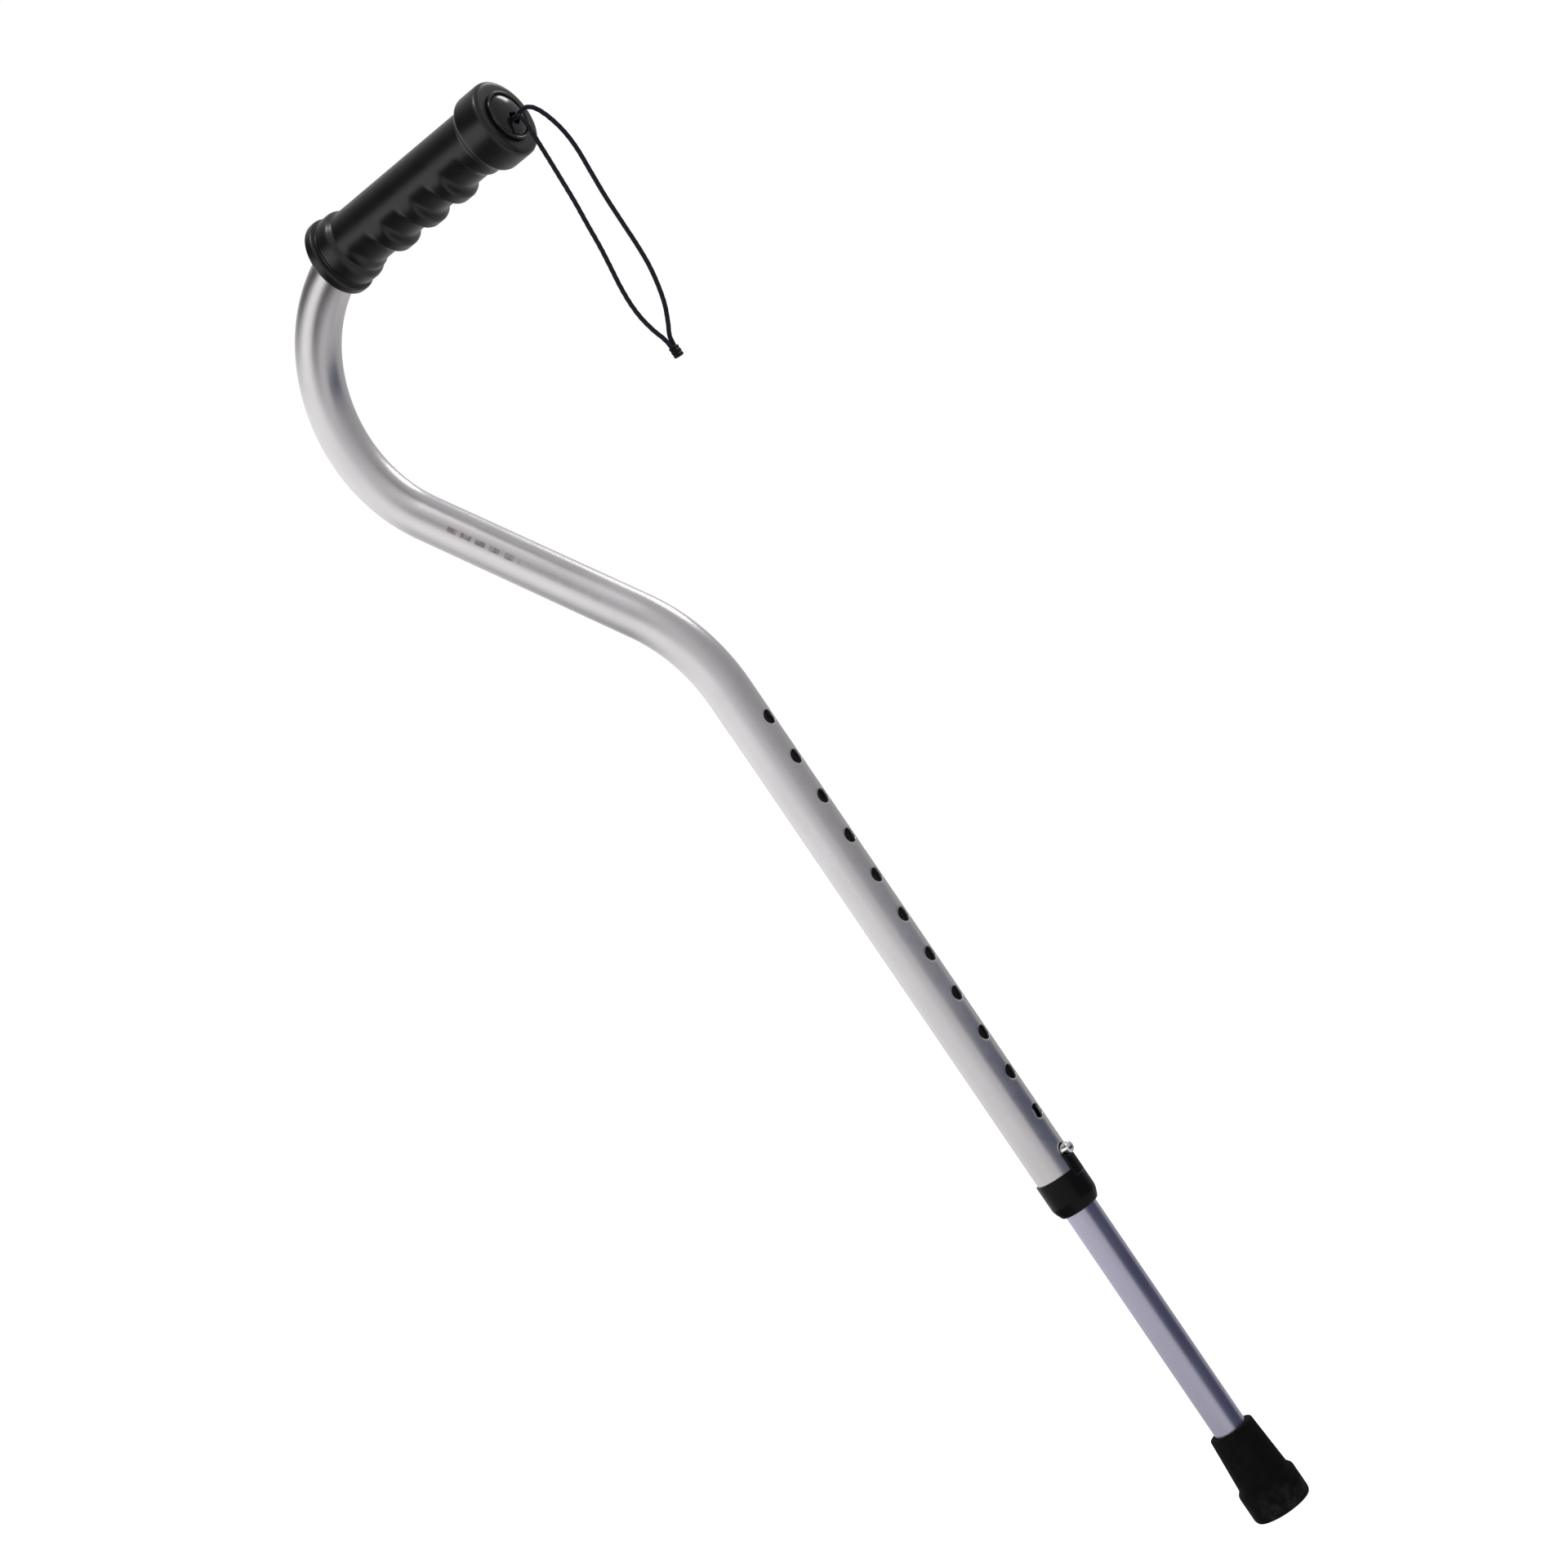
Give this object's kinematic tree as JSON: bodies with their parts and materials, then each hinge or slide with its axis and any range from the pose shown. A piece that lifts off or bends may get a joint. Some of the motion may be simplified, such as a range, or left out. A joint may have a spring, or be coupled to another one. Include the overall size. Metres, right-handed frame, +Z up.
{
  "type": "single point offset cane",
  "caption": "Offset walking cane: bent aluminium tube with a ribbed grip, a telescoping leg held by a snap button and a locking collar, a rubber tip and a wrist loop.",
  "frame": {"origin": "centre of the rubber tip's ground face, on the shaft's axis", "axes": "+Z up the shaft; +X from the shaft towards the free end of the grip; the bends lie in the XZ plane"},
  "size_m": [0.2391, 0.0446, 0.8623],
  "materials": {
    "satin_aluminium": "satin anodised, faint lengthwise drawing lines",
    "bright_aluminium": "brighter anodised, bluish",
    "spring_steel": "plain spring steel",
    "chrome": "polished plate",
    "white_nylon": "moulded nylon",
    "black_vinyl": "soft glossy dipped vinyl",
    "black_plastic": "moulded, semi gloss",
    "black_rubber": "matte moulded rubber",
    "braided_cord": "fine braided elastic cord"
  },
  "bodies": {
    "handle_frame": {"upper_tube": "satin_aluminium", "guide_bush": "white_nylon", "handle_grip": "black_vinyl", "grip_end_plug": "black_plastic", "cord_knot": "braided_cord"},
    "lower_leg": {"lower_tube": "bright_aluminium", "glide_cap": "white_nylon", "button_spring": "spring_steel", "ferrule": "black_rubber", "ferrule_washer": "spring_steel"},
    "push_button": {"snap_button": "chrome"},
    "collar": {"locking_collar": "black_plastic"},
    "wrist_loop": {"wrist_cord_inner": "braided_cord", "wrist_cord_outer": "braided_cord", "cord_crimp": "black_plastic"}
  },
  "joints": [
    {"name": "height_slide", "type": "slide", "parent": "handle_frame", "child": "lower_leg", "axis": [0, 0, 1], "range_m": [0, 0.127], "deforming": ["button_spring", "snap_button"]},
    {"name": "button_press", "type": "slide", "parent": "lower_leg", "child": "push_button", "axis": [-1, 0, 0], "range_m": [0, 0.0072], "stiffness_N_per_m": 1100, "springref_m": -0.002, "deforming": ["button_spring"]},
    {"name": "collar_slide", "type": "slide", "parent": "handle_frame", "child": "collar", "axis": [0, 0, -1], "range_m": [0, 0.01]},
    {"name": "cord_swing", "type": "hinge", "parent": "handle_frame", "child": "wrist_loop", "pos_m": [0.0933, 0, 0.837], "axis": [0, 1, 0], "range_deg": [-90, 0]}
  ]
}
